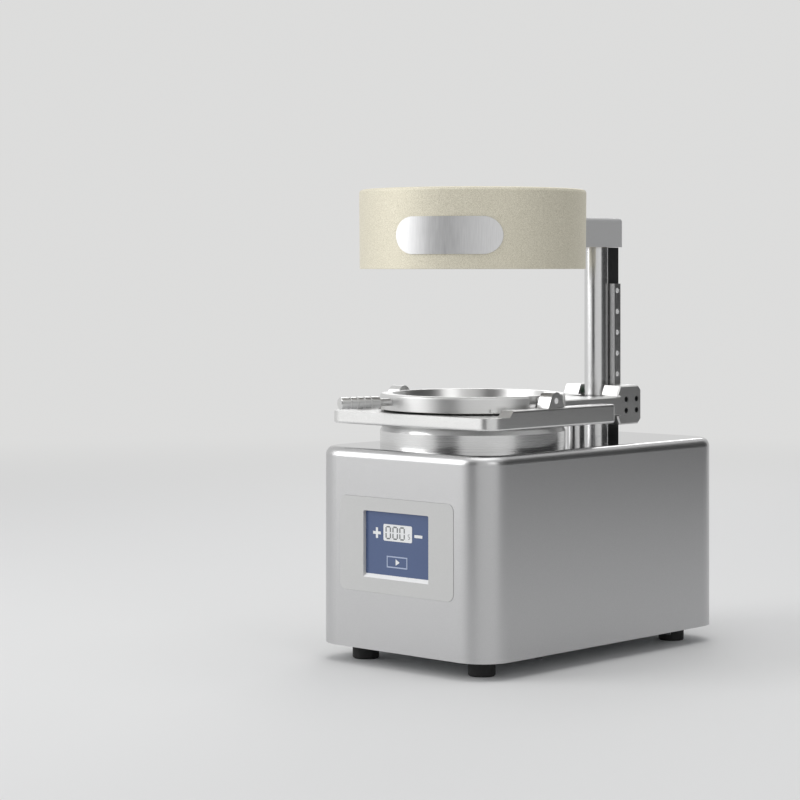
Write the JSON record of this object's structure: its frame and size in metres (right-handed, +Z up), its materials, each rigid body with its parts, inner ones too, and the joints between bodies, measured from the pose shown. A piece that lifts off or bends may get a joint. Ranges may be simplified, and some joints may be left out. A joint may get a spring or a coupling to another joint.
{
  "type": "dental vacuum forming machine",
  "caption": "Benchtop machine that softens a clamped plastic sheet under a swinging heater and draws it by suction over a dental model.",
  "frame": {"origin": "centre of the outline seen from above, on the worktop under the feet", "axes": "+Z up, -Y towards the operator, +X to the operator's right"},
  "size_m": [0.156, 0.2798, 0.317],
  "materials": {
    "grey_paint": "matt grey paint",
    "satin_shell": "satin sides, polished top",
    "turned_ring": "turned",
    "champagne_paint": "sand-textured pale champagne paint",
    "black_paint": "satin black",
    "zinc_sheet": "zinc-plated sheet",
    "black_rubber": "matt black",
    "white_silicone": "off-white silicone cord",
    "screw_steel": "plain steel",
    "screw_black": "black oxide",
    "polished_aluminium": "turned and polished",
    "satin_aluminium": "satin",
    "cast_aluminium": "as cast",
    "satin_steel": "ground",
    "core_steel": "lacquered laminations",
    "chrome": "polished",
    "brass": "plain",
    "grey_plastic": "light grey",
    "blue_panel": "printed blue film behind clear plastic",
    "black_plastic": "fine texture",
    "green_plastic": "green",
    "green_board": "lacquered circuit board",
    "bright_reflector": "bright sheet",
    "ceramic_wool": "pressed white fibre",
    "element_sheath": "heat-darkened sheath",
    "bare_plate": "bare satin plate"
  },
  "bodies": {
    "base": {"housing_shell": "satin_shell", "bottom_plate": "zinc_sheet", "feet": "black_rubber", "base_screws": "screw_steel", "base_nuts": "screw_steel", "pot_body": "polished_aluminium", "stage_gasket": "white_silicone", "perforated_plate": "satin_steel", "pot_screws": "screw_steel", "suction_hose": "black_rubber", "motor_bracket": "zinc_sheet", "motor_isolators": "black_rubber", "motor_can": "zinc_sheet", "motor_divider": "cast_aluminium", "blower_cover": "cast_aluminium", "motor_stator": "core_steel", "motor_bearings": "satin_steel", "control_bezel": "grey_plastic", "key_panel": "blue_panel", "display_board": "green_board", "board_spacers": "brass", "column": "chrome", "column_socket": "cast_aluminium", "stop_post": "chrome", "guide_bar": "black_paint", "bar_screws": "screw_black", "rail_right": "satin_steel", "rail_left": "satin_steel", "rail_screws": "screw_steel", "inlet_socket": "black_plastic", "inlet_pins": "brass", "switch_frame": "black_plastic", "fuse_holder": "black_plastic", "power_board": "green_board", "transformer": "core_steel"},
    "carriage": {"guide_block_right": "satin_steel", "guide_block_left": "satin_steel", "block_caps": "green_plastic", "yoke_right": "satin_aluminium", "yoke_left": "satin_aluminium", "rear_arm": "satin_aluminium", "slide_pad": "black_plastic", "carriage_screws": "screw_black", "lower_frame": "satin_aluminium", "frame_gasket": "black_rubber", "clamp_pins": "satin_steel"},
    "clamp": {"clamp_ring": "turned_ring", "handle_stud": "satin_steel", "handle_grip": "turned_ring"},
    "heater": {"heater_shell": "champagne_paint", "heater_reflector": "bright_reflector", "heater_insulation": "ceramic_wool", "heating_element": "element_sheath", "heater_screws": "screw_steel", "heater_arm": "grey_paint", "arm_bush": "brass", "heater_label": "bare_plate"},
    "rocker": {"power_rocker": "black_plastic"},
    "rotor": {"motor_rotor": "core_steel", "impeller": "cast_aluminium"}
  },
  "joints": [
    {"name": "carriage_lift", "type": "slide", "parent": "base", "child": "carriage", "axis": [0, 0, 1], "range_m": [0, 0.07]},
    {"name": "clamp_turn", "type": "hinge", "parent": "carriage", "child": "clamp", "pos_m": [0, -0.04388, 0.174], "axis": [0, 0, 1], "range_deg": [-23, 0]},
    {"name": "heater_swing", "type": "hinge", "parent": "base", "child": "heater", "pos_m": [0, 0.09152, 0.288], "axis": [0, 0, 1], "range_deg": [-90, 90]},
    {"name": "rocker_tilt", "type": "hinge", "parent": "base", "child": "rocker", "pos_m": [0.04, 0.13432, 0.0475], "axis": [1, 0, 0], "range_deg": [0, 18]},
    {"name": "blower_spin", "type": "hinge", "parent": "base", "child": "rotor", "pos_m": [0, -0.04388, 0.07], "axis": [0, 0, 1], "continuous": true}
  ]
}
